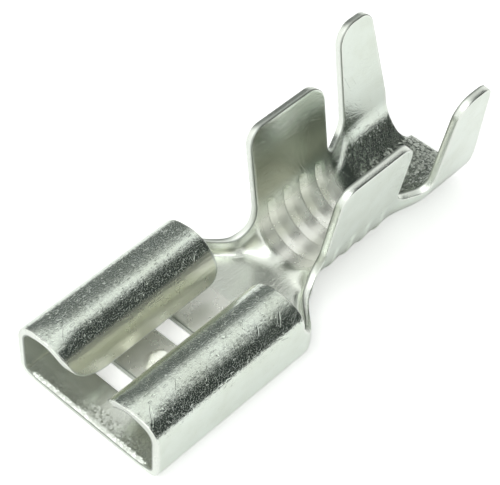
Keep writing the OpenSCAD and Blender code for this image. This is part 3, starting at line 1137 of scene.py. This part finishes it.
@dataclass(frozen=True)
class TinFinish:
    """A tin surface with grain and dull patches, satin in places, with painted light and painted shade in
    places, and rubbed at the rims.
    """

    name: str
    bright: Colour
    dull: Colour
    # Colour of the satin zones inside: partly the satin finish, partly painted light that makes the inside
    # floors lighter than the outer tin
    inner: Colour
    # Colour of the lips: the tin's tone, tinted olive and lightened by a painted reflection of the
    # neighbouring tin
    lip: Colour
    # Colour of the painted shade on the wings' insides, the barrel's lower outside and the grip's wing
    # roots, standing in for dark reflections
    painted_shade: Colour
    rough: tuple[float, float]
    grain: float
    streaks: float
    scratches: float
    facet_lean: float
    coarse_lean: float
    bump: float
    rubbed: Colour = (0.82, 0.85, 0.8, 1.0)
    # Darker colour of the coarse zones and of the cut edges' inner corners
    dark_tone: Colour = (0.3, 0.32, 0.29, 1.0)
    inner_rough: float = 0.0
    satin_rough: float = 0.0
    lip_rough: float = 0.0
    satin_frost: float = 0.0
    lip_frost: float = 0.0
    lip_streaks: float = 2.5
    flat_scratches: float = 0.35
    coarse_darkening: float = 0.75
    # How much darker the cut edges are along their inner corners
    edge_darkening: float = 0.0
    rub_width: float = 0.00016
    rub_range: tuple[float, float] = (0.5, 1.4)
    patch_range: tuple[float, float] = (0.3, 0.7)
    inner_range: tuple[float, float] = (0.0001, 0.00033)
    edge_darkening_range: tuple[float, float] = (0.00024, 0.00032)

    def material(self, group: bpy.types.NodeTree) -> Material:
        """Builds the material.

        Args:
            group: The shared wear and grain.

        Returns:
            The new material.
        """
        made = bpy.data.materials.new(self.name)
        made.use_nodes = True
        sketch = NodeSketch(made.node_tree)
        shader = made.node_tree.nodes["Principled BSDF"]
        depth = sketch.attribute(Mark.DEPTH)
        coarse = sketch.attribute(Mark.COARSE)
        satin = sketch.attribute(Mark.SATIN_AND_PAINTED_LIGHT)
        lip = sketch.attribute(Mark.LIP)
        stretched = sketch.attribute(Mark.STRETCH)
        flat_lean = sketch.math("MULTIPLY", stretched, self.facet_lean / self.bump)
        marked = sketch.math("MULTIPLY_ADD", stretched, 1.0 - self.flat_scratches, self.flat_scratches)
        wear = sketch.node("ShaderNodeGroup", node_tree=group)
        for name, value in (
            ("Coordinates", sketch.node("ShaderNodeTexCoord").outputs["Object"]),
            ("Grain", self.grain),
            ("Facets", sketch.math("MULTIPLY_ADD", coarse, self.coarse_lean / self.bump, flat_lean)),
            ("Crystals", coarse),
            ("Streaks", sketch.math("MULTIPLY_ADD", lip, self.lip_streaks, self.streaks)),
            ("Scratches", sketch.math("MULTIPLY", marked, self.scratches)),
        ):
            sketch.feed(wear.inputs[name], value)
        patches = wear.outputs["Patches"]
        ragged = sketch.math("MULTIPLY_ADD", patches, self.rub_width, sketch.attribute(Mark.RIM))
        worn = sketch.spread(ragged, *(self.rub_width * end for end in self.rub_range), 1.0, 0.0)
        face = sketch.mixed(sketch.spread(patches, *self.patch_range, 0.0, 1.0), self.bright, self.dull)
        for share, colour in (
            # Partly painted light: the satin zones take the brighter inner colour
            (satin, self.inner),
            # Partly painted reflection: the lips take an olive colour
            (lip, self.lip),
            # Painted shade: darker colour where dark reflections would fall
            (sketch.attribute(Mark.PAINTED_SHADE), self.painted_shade),
            # The coarse zones are drawn darker
            (sketch.math("MULTIPLY", coarse, self.coarse_darkening), self.dark_tone),
            (worn, self.rubbed),
            # The cut edges are drawn darker along their inner corners
            (sketch.spread(depth, *self.edge_darkening_range, 0.0, self.edge_darkening), self.dark_tone),
        ):
            face = sketch.mixed(share, face, colour)
        rough = sketch.spread(wear.outputs["Dulling"], 0.0, 1.0, *self.rough)
        inside = sketch.spread(depth, *self.inner_range, 0.0, 1.0)
        for share, more in ((inside, self.inner_rough), (satin, self.satin_rough), (lip, self.lip_rough)):
            rough = sketch.math("MULTIPLY_ADD", share, more, rough)
        metal = sketch.math("MULTIPLY_ADD", satin, -self.satin_frost, 1.0)
        metal = sketch.math("MULTIPLY_ADD", lip, -self.lip_frost, metal)
        bump = sketch.node("ShaderNodeBump")
        bump.inputs["Strength"].default_value = 1.0
        bump.inputs["Distance"].default_value = self.bump
        sketch.feed(bump.inputs["Height"], wear.outputs["Height"])
        sketch.feed(shader.inputs["Base Color"], face)
        sketch.feed(shader.inputs["Metallic"], metal)
        sketch.feed(shader.inputs["Roughness"], rough)
        sketch.feed(shader.inputs["Normal"], bump.outputs[0])
        return made


PLATED = TinFinish(
    name="tin_plated_sheet",
    bright=(0.77, 0.825, 0.765, 1.0),
    dull=(0.71, 0.76, 0.685, 1.0),
    # Brighter than the outer tin: the satin finish plus painted light on the inside floors
    inner=(0.95, 0.955, 0.9, 1.0),
    # Olive lips: the tin's tone with a painted reflection of the neighbouring tin
    lip=(0.9, 0.92, 0.78, 1.0),
    # Painted shade colour
    painted_shade=(0.43, 0.45, 0.36, 1.0),
    rough=(0.07, 0.17),
    grain=1.0,
    streaks=0.5,
    scratches=1.0,
    facet_lean=0.09,
    coarse_lean=0.75,
    bump=0.000006,
    satin_rough=0.18,
    lip_rough=0.2,
    satin_frost=0.32,
    lip_frost=0.16,
)
SHEARED = TinFinish(
    name="sheared_edge",
    bright=(0.82, 0.85, 0.81, 1.0),
    dull=(0.72, 0.74, 0.68, 1.0),
    inner=(0.8, 0.82, 0.76, 1.0),
    lip=(0.8, 0.82, 0.73, 1.0),
    painted_shade=(0.6, 0.62, 0.55, 1.0),
    rough=(0.24, 0.42),
    grain=1.2,
    streaks=0.3,
    scratches=0.4,
    facet_lean=0.1,
    coarse_lean=0.2,
    bump=0.0000055,
    inner_rough=0.05,
    edge_darkening=0.95,
)


@dataclass(frozen=True)
class WearAndPaintedLightMap:
    """Where the sheet is pressed, coarse, satin or stretched, where painted light brightens it and where
    painted shade darkens it, with bands in millimetres.
    """

    mouth: Receptacle
    barrel: WireBarrel
    grip: InsulationBarrel
    press_front: Band = Band(0.0, 0.25)
    press_rear: Band = Band(0.0, 0.3)
    roll_end: Band = Band(0.0, 0.2)
    roll_foot: Band = Band(0.0, 0.3)
    lip_side: Band = Band(1.2, 0.12)
    lip_foot: Band = Band(0.8, 0.3)
    floor_front: Band = Band(1.6, 0.8)
    neck_end: Band = Band(0.0, 0.4)
    neck_satin: float = 0.45
    barrel_front: Band = Band(-0.3, 0.5)
    barrel_rear: Band = Band(0.0, 0.4)
    barrel_side: Band = Band(1.3, 1.1)
    # Bands of the painted shade on the wings' insides, the barrel's lower outside and the grip's wing roots
    wing_foot: Band = Band(1.9, 1.0)
    wing_tip: Band = Band(4.2, 1.2)
    tip_loss: float = 0.65
    under_side: Band = Band(0.6, 1.6)
    under_shade: float = 0.35
    root_front: Band = Band(0.6, 0.6)
    root_side: Band = Band(1.3, 0.5)
    root_shade: float = 0.2
    grain_start: float = 0.6
    grain_front: Band = Band(0.0, 0.7)
    grain_floor: Band = Band(0.55, 0.35)
    grain_side: Band = Band(1.2, 0.5)
    floor_loss: float = 0.7
    edge_grain: float = 0.5
    edge_rear: Band = Band(0.15, 0.9)
    edge_side: Band = Band(0.4, 0.5)

    def marks(self, points: Array, depth: Array) -> dict[Mark, Array]:
        """Shares of every kind of surface.

        Args:
            points: Points of the mesh, with the terminal's middle at zero.
            depth: Their depths into the sheet.

        Returns:
            The shares of every point.
        """
        along = points[:, 0] + MIDDLE_X
        high = points[:, 2]
        past = along - self.barrel.start
        after = along - self.barrel.end
        inside = ease(depth / SHEET_T)
        rolled = self.roll_end.shrunk(along - self.mouth.length)
        lips = rolled * self.lip_side.shrunk(np.abs(points[:, 1])) * self.lip_foot.grown(high)
        crest = rolled * (1.0 - inside) * self.roll_foot.grown(high - self.mouth.wall_h)
        barrel = self.barrel_front.grown(past) * self.barrel_rear.shrunk(after)
        # Satin zones: the barrel's floor, the receptacle behind its mouth and the neck, whose brighter
        # colour is partly painted light
        satin = np.maximum(barrel * self.barrel_side.shrunk(high), rolled * self.floor_front.grown(along))
        satin = np.maximum(satin, self.neck_satin * self.neck_end.shrunk(past))
        # Painted shade: the wings' insides, the barrel's lower outside and the grip's wing roots are
        # darkened to stand in for dark reflections
        tips = 1.0 - self.tip_loss * self.wing_tip.grown(high)
        wings = inside * barrel * self.wing_foot.grown(high) * tips
        under = self.under_shade * (1.0 - inside) * barrel * self.under_side.shrunk(high)
        root = self.root_shade * inside * self.root_front.grown(after) * self.root_side.shrunk(high)
        floor = blend(self.grain_side.shrunk(high), self.grain_floor.shrunk(high), self.floor_loss)
        floor = floor * self.grain_front.grown(after - self.grain_start * self.grip.step_l)
        edge = self.edge_grain * self.edge_rear.shrunk(along) * self.edge_side.shrunk(high)
        return {
            Mark.BARREL: self.press_front.grown(past) * self.press_rear.grown(-after),
            Mark.COARSE: inside * np.maximum(floor, edge),
            Mark.SATIN_AND_PAINTED_LIGHT: inside * satin * (1.0 - lips),
            Mark.LIP: lips,
            Mark.STRETCH: crest * (1.0 - lips),
            Mark.PAINTED_SHADE: np.maximum(np.maximum(wings, under), root),
        }


@dataclass
class FoldedSheet:
    """The whole terminal: one sheet, cut, folded and pressed."""

    outer_round: float = 0.045
    inner_round: float = 0.025
    slide_reach: float = 5.0
    weld_digits: int = 4
    across: Sampling = field(default_factory=Sampling)
    mouth: Receptacle = field(default_factory=Receptacle)
    neck: Neck = field(default_factory=Neck)
    barrel: WireBarrel = field(default_factory=WireBarrel)
    grip: InsulationBarrel = field(default_factory=InsulationBarrel)

    def stretches(self) -> list[SheetGrid]:
        """Cuts the terminal into stretches.

        Returns:
            Halves of the stretches, from the mouth to the cut end.
        """
        return [
            self.mouth.grid(self.across),
            self.neck.grid(self.across, self.mouth, self.barrel),
            self.barrel.grid(self.across),
            self.grip.step_grid(self.across, self.barrel),
            self.grip.wing_grid(self.across, self.barrel),
            self.grip.stub_grid(self.across, self.barrel),
        ]

    def faces(self) -> tuple[Array, Array, Array]:
        """Welds the stretches and their mirror images.

        Returns:
            Points outside, points inside, and quads that look outwards on the outside.
        """
        outside, inside, quads = [], [], []
        count = 0
        flip = np.array([1.0, -1.0, 1.0])
        for half in self.stretches():
            outer = np.concatenate([half.outside[:, :0:-1] * flip, half.outside], axis=1)
            inner = np.concatenate([half.inside[:, :0:-1] * flip, half.inside], axis=1)
            rows, columns = outer.shape[:2]
            index = count + np.arange(rows * columns).reshape(rows, columns)
            cells = np.stack([index[:-1, :-1], index[:-1, 1:], index[1:, 1:], index[1:, :-1]], axis=-1)
            keep = np.ones(cells.shape[:2], bool)
            if half.keep is not None:
                keep = np.concatenate([half.keep[:, ::-1], half.keep], axis=1)
            outside.append(outer.reshape(-1, 3))
            inside.append(inner.reshape(-1, 3))
            quads.append(cells[keep])
            count += rows * columns
        outer = np.concatenate(outside)
        inner = np.concatenate(inside)
        rounded = np.round(outer, self.weld_digits)
        _, first, same = np.unique(rounded, axis=0, return_index=True, return_inverse=True)
        cells = same.reshape(-1)[np.concatenate(quads)]
        used, cells = np.unique(cells, return_inverse=True)
        return outer[first][used], inner[first][used], cells.reshape(-1, 4)

    @staticmethod
    def free_edges(cells: Array) -> Array:
        """Finds the edges that belong to one quad only.

        Args:
            cells: The quads.

        Returns:
            The edges, in their quads' own direction.
        """
        edges = np.concatenate([cells[:, [k, (k + 1) % 4]] for k in range(4)])
        keys = np.sort(edges, axis=1)
        _, place, count = np.unique(keys, axis=0, return_inverse=True, return_counts=True)
        return edges[count[place.reshape(-1)] == 1]

    @staticmethod
    def inward(points: Array, thick: Array, edges: Array) -> Array:
        """Directions along the sheet that point away from its free edges.

        Args:
            points: Points of one face.
            thick: Unit directions through the sheet, from outside to inside.
            edges: The free edges.

        Returns:
            One direction for each point, zero away from the edges.
        """
        run = points[edges[:, 1]] - points[edges[:, 0]]
        run /= np.linalg.norm(run, axis=1, keepdims=True)
        away = np.cross(run, thick[edges[:, 0]] + thick[edges[:, 1]])
        away /= np.linalg.norm(away, axis=1, keepdims=True)
        total = np.zeros_like(points)
        np.add.at(total, edges[:, 0], away)
        np.add.at(total, edges[:, 1], away)
        length = np.linalg.norm(total, axis=1, keepdims=True)
        return np.where(length > TINY, total / np.maximum(length, TINY), 0.0)

    @staticmethod
    def nearest(points: Array, rim: Array) -> tuple[Array, Array]:
        """Finds the nearest point of the rim to every point.

        Args:
            points: Points of one face.
            rim: Numbers of the points on its free edges.

        Returns:
            Distances, and numbers of the points found.
        """
        tree = kdtree.KDTree(len(rim))
        for place, point in enumerate(rim):
            tree.insert(points[point], place)
        tree.balance()
        found = [tree.find(point)[1:] for point in points]
        return np.array([distance for _, distance in found]), rim[[place for place, _ in found]]

    def mesh(self) -> bpy.types.Mesh:
        """Builds both faces of the sheet and its rounded cut edges.

        Returns:
            A closed mesh, in metres.
        """
        outer, inner, cells = self.faces()
        count = len(outer)
        edges = self.free_edges(cells)
        rim = np.unique(edges)
        thick = inner - outer
        thick /= np.linalg.norm(thick, axis=1, keepdims=True)
        away = self.inward(outer, thick, edges)
        near, nearest = self.nearest(outer, rim)
        fading = np.clip(1.0 - near / (self.slide_reach * self.outer_round), 0.0, 1.0)
        slide = away[nearest] * fading[:, None]
        bend = 1.0 - math.sqrt(0.5)
        rings = (
            outer + bend * self.outer_round * (away + thick),
            outer + self.outer_round * thick,
            inner - self.inner_round * thick,
            inner + bend * self.inner_round * (away - thick),
        )
        depths = (bend * self.outer_round, self.outer_round, SHEET_T - self.inner_round, SHEET_T)
        layers = [outer + slide * self.outer_round, inner + slide * self.inner_round]
        points = np.concatenate(layers + [ring[rim] for ring in rings])
        points[:, 0] -= MIDDLE_X
        depth = np.repeat((0.0, SHEET_T, *depths), (count, count, *(len(rim) for _ in depths)))
        slot = np.full(count, -1)
        slot[rim] = np.arange(len(rim))
        ring_loops = [2 * count + k * len(rim) + slot[edges] for k in range(len(rings))]
        loops = [edges, *ring_loops, edges + count]
        walls = []
        for upper, lower in zip(loops, loops[1:]):
            walls.append(np.stack([upper[:, 1], upper[:, 0], lower[:, 0], lower[:, 1]], axis=-1))
        polygons = np.concatenate([cells, cells[:, ::-1] + count, *walls])
        mesh = bpy.data.meshes.new("terminal_sheet")
        mesh.from_pydata((points * MM).tolist(), [], polygons.tolist())
        rim_near = np.concatenate([near, near, np.zeros(len(rings) * len(rim))])
        marks = {Mark.DEPTH: depth * MM, Mark.RIM: rim_near * MM}
        marks.update(WearAndPaintedLightMap(self.mouth, self.barrel, self.grip).marks(points, depth))
        for mark, values in marks.items():
            mesh.attributes.new(mark.value, "FLOAT", "POINT").data.foreach_set("value", values)
        on_edge = np.arange(len(polygons)) >= 2 * len(cells)
        mesh.attributes.new(Mark.EDGE.value, "BOOLEAN", "FACE").data.foreach_set("value", on_edge)
        mesh.polygons.foreach_set("use_smooth", np.ones(len(polygons), bool))
        mesh.update()
        return mesh

    def build(self) -> bpy.types.Object:
        """Makes the piece, presses its serrations and dresses it.

        Returns:
            The finished piece.
        """
        group = PlatingGrain().group()
        piece = bpy.data.objects.new("terminal_sheet", self.mesh())
        bpy.context.scene.collection.objects.link(piece)
        SerrationPress(self.barrel).press(piece, PLATED.material(group), SHEARED.material(group))
        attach(piece, "root")
        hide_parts("terminal")
        return piece


def toward(azimuth: float, elevation: float) -> Vector:
    """Direction at two angles in degrees, with the first from +X towards +Y."""
    turn, lift = math.radians(azimuth), math.radians(elevation)
    return Vector((math.cos(turn) * math.cos(lift), math.sin(turn) * math.cos(lift), math.sin(lift)))


@dataclass(frozen=True)
class PhotoCamera:
    """Camera at the photograph's angle, with its target in millimetres from the mouth."""

    azimuth: float = -49.664
    elevation: float = 47.554
    roll: float = 3.495
    distance: float = 66.274
    shift_right: float = 6.124
    shift_up: float = 6.852
    focal_px: float = 1759.493
    frame_px: float = 500.0
    sensor_mm: float = 36.0
    clip_start: float = 0.001

    def axes(self) -> tuple[Vector, Vector, Vector]:
        """Turns the camera's own directions.

        Returns:
            Directions to the right, upwards and back from the picture.
        """
        back = toward(self.azimuth - 90.0, self.elevation)
        right = toward(self.azimuth, 0.0)
        lean = Matrix.Rotation(math.radians(self.roll), 3, back)
        return lean @ right, lean @ back.cross(right), back

    def build(self) -> bpy.types.Object:
        """Makes the camera and makes it the scene's own.

        Returns:
            The camera.
        """
        right, up, back = self.axes()
        eye = back * self.distance + right * self.shift_right + up * self.shift_up
        eye.x -= MIDDLE_X
        data = bpy.data.cameras.new("photo_camera")
        data.sensor_width = self.sensor_mm
        data.lens = self.focal_px / self.frame_px * self.sensor_mm
        data.clip_start = self.clip_start
        camera = bpy.data.objects.new("photo_camera", data)
        columns = Matrix((right, up, back)).transposed()
        camera.matrix_world = Matrix.Translation(eye * MM) @ columns.to_4x4()
        bpy.context.scene.collection.objects.link(camera)
        bpy.context.scene.camera = camera
        return camera


@dataclass(frozen=True)
class SoftPatch:
    """A round patch of the surroundings with a soft rim, placed by its angles as seen from the terminal."""

    azimuth: float
    elevation: float
    inner: float
    outer: float
    level: Colour

    def cover(self, sketch: NodeSketch, direction: object, behind: object) -> Socket:
        """Lays the patch over what is behind it.

        Args:
            sketch: The world's nodes.
            direction: The direction that is looked in.
            behind: Colour of the surroundings behind the patch.

        Returns:
            Colour of the surroundings with the patch.
        """
        near = sketch.vector("DOT_PRODUCT", direction, toward(self.azimuth, self.elevation))
        rim = math.cos(math.radians(self.outer))
        core = math.cos(math.radians(self.inner))
        return sketch.mixed(sketch.spread(near, rim, core, 0.0, 1.0), behind, self.level)


@dataclass(frozen=True)
class Studio:
    """White paper in a bright tent with two dark panels, a brighter key light and a dimmer top."""

    floor_half: float = 1.2
    floor_drop: float = 0.00002
    floor_seen: float = 0.45
    floor_mirrored: float = 0.24
    floor_rough: float = 0.9
    # Distances from the terminal's middle line over which the painted shadow under it fades out
    painted_shadow_span: tuple[float, float] = (0.001, 0.0032)
    paper: Colour = (0.95, 0.95, 0.95, 1.0)
    white: Colour = (1.0, 1.0, 1.0, 1.0)
    tent: Colour = (1.08, 1.1, 1.06, 1.0)
    patches: tuple[SoftPatch, ...] = (
        SoftPatch(-50.0, 30.0, 32.0, 58.0, (0.05, 0.057, 0.053, 1.0)),
        SoftPatch(60.5, 24.5, 8.0, 42.0, (0.15, 0.163, 0.156, 1.0)),
        SoftPatch(185.0, 62.0, 14.0, 36.0, (2.2, 2.25, 2.2, 1.0)),
        SoftPatch(0.0, 90.0, 7.0, 22.0, (0.76, 0.78, 0.76, 1.0)),
    )

    def floor(self) -> bpy.types.Object:
        """Makes the floor, white to the camera and bright in reflections, with a painted shadow that takes
        this glow away under the terminal.

        Returns:
            The floor.
        """
        half = self.floor_half
        corners = [(-half, -half), (half, -half), (half, half), (-half, half)]
        mesh = bpy.data.meshes.new("floor")
        mesh.from_pydata([(x, y, -self.floor_drop) for x, y in corners], [], [(0, 1, 2, 3)])
        made = bpy.data.materials.new("white_floor")
        made.use_nodes = True
        sketch = NodeSketch(made.node_tree)
        paper = made.node_tree.nodes["Principled BSDF"].inputs
        paper["Base Color"].default_value = self.paper
        paper["Roughness"].default_value = self.floor_rough
        paper["Specular IOR Level"].default_value = 0.0
        paper["Emission Color"].default_value = self.white
        rays = sketch.node("ShaderNodeLightPath").outputs
        mirrored = sketch.math("MAXIMUM", rays["Is Glossy Ray"], rays["Is Transmission Ray"])
        across = sketch.split(sketch.node("ShaderNodeTexCoord").outputs["Object"])[1]
        beside = sketch.math("ABSOLUTE", across)
        # Painted shadow: the glow that reflections see fades out under the terminal
        glow = sketch.spread(beside, *self.painted_shadow_span, 0.0, self.floor_mirrored)
        glow = sketch.math("MULTIPLY", mirrored, glow)
        glow = sketch.math("MULTIPLY_ADD", rays["Is Camera Ray"], self.floor_seen, glow)
        sketch.feed(paper["Emission Strength"], glow)
        mesh.materials.append(made)
        floor = bpy.data.objects.new("floor", mesh)
        bpy.context.scene.collection.objects.link(floor)
        return floor

    def build(self) -> None:
        """Makes the floor and the surroundings."""
        self.floor()
        world = bpy.data.worlds.new("studio")
        world.use_nodes = True
        sketch = NodeSketch(world.node_tree)
        direction = sketch.node("ShaderNodeTexCoord").outputs["Generated"]
        seen = self.tent
        for patch in self.patches:
            seen = patch.cover(sketch, direction, seen)
        rays = sketch.node("ShaderNodeLightPath").outputs
        seen = sketch.mixed(rays["Is Camera Ray"], seen, self.white)
        sketch.feed(world.node_tree.nodes["Background"].inputs["Color"], seen)
        bpy.context.scene.world = world


def main() -> None:
    """Builds the terminal, the studio and the camera."""
    logging.basicConfig(level=logging.INFO, format="%(message)s")
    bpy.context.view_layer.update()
    PhotoCamera().build()
    piece = FoldedSheet().build()
    LOG.info("%s: %d faces", piece.name, len(piece.data.polygons))
    Studio().build()
    scene = bpy.context.scene
    scene.view_settings.view_transform = "Standard"


if __name__ == "__main__":
    main()
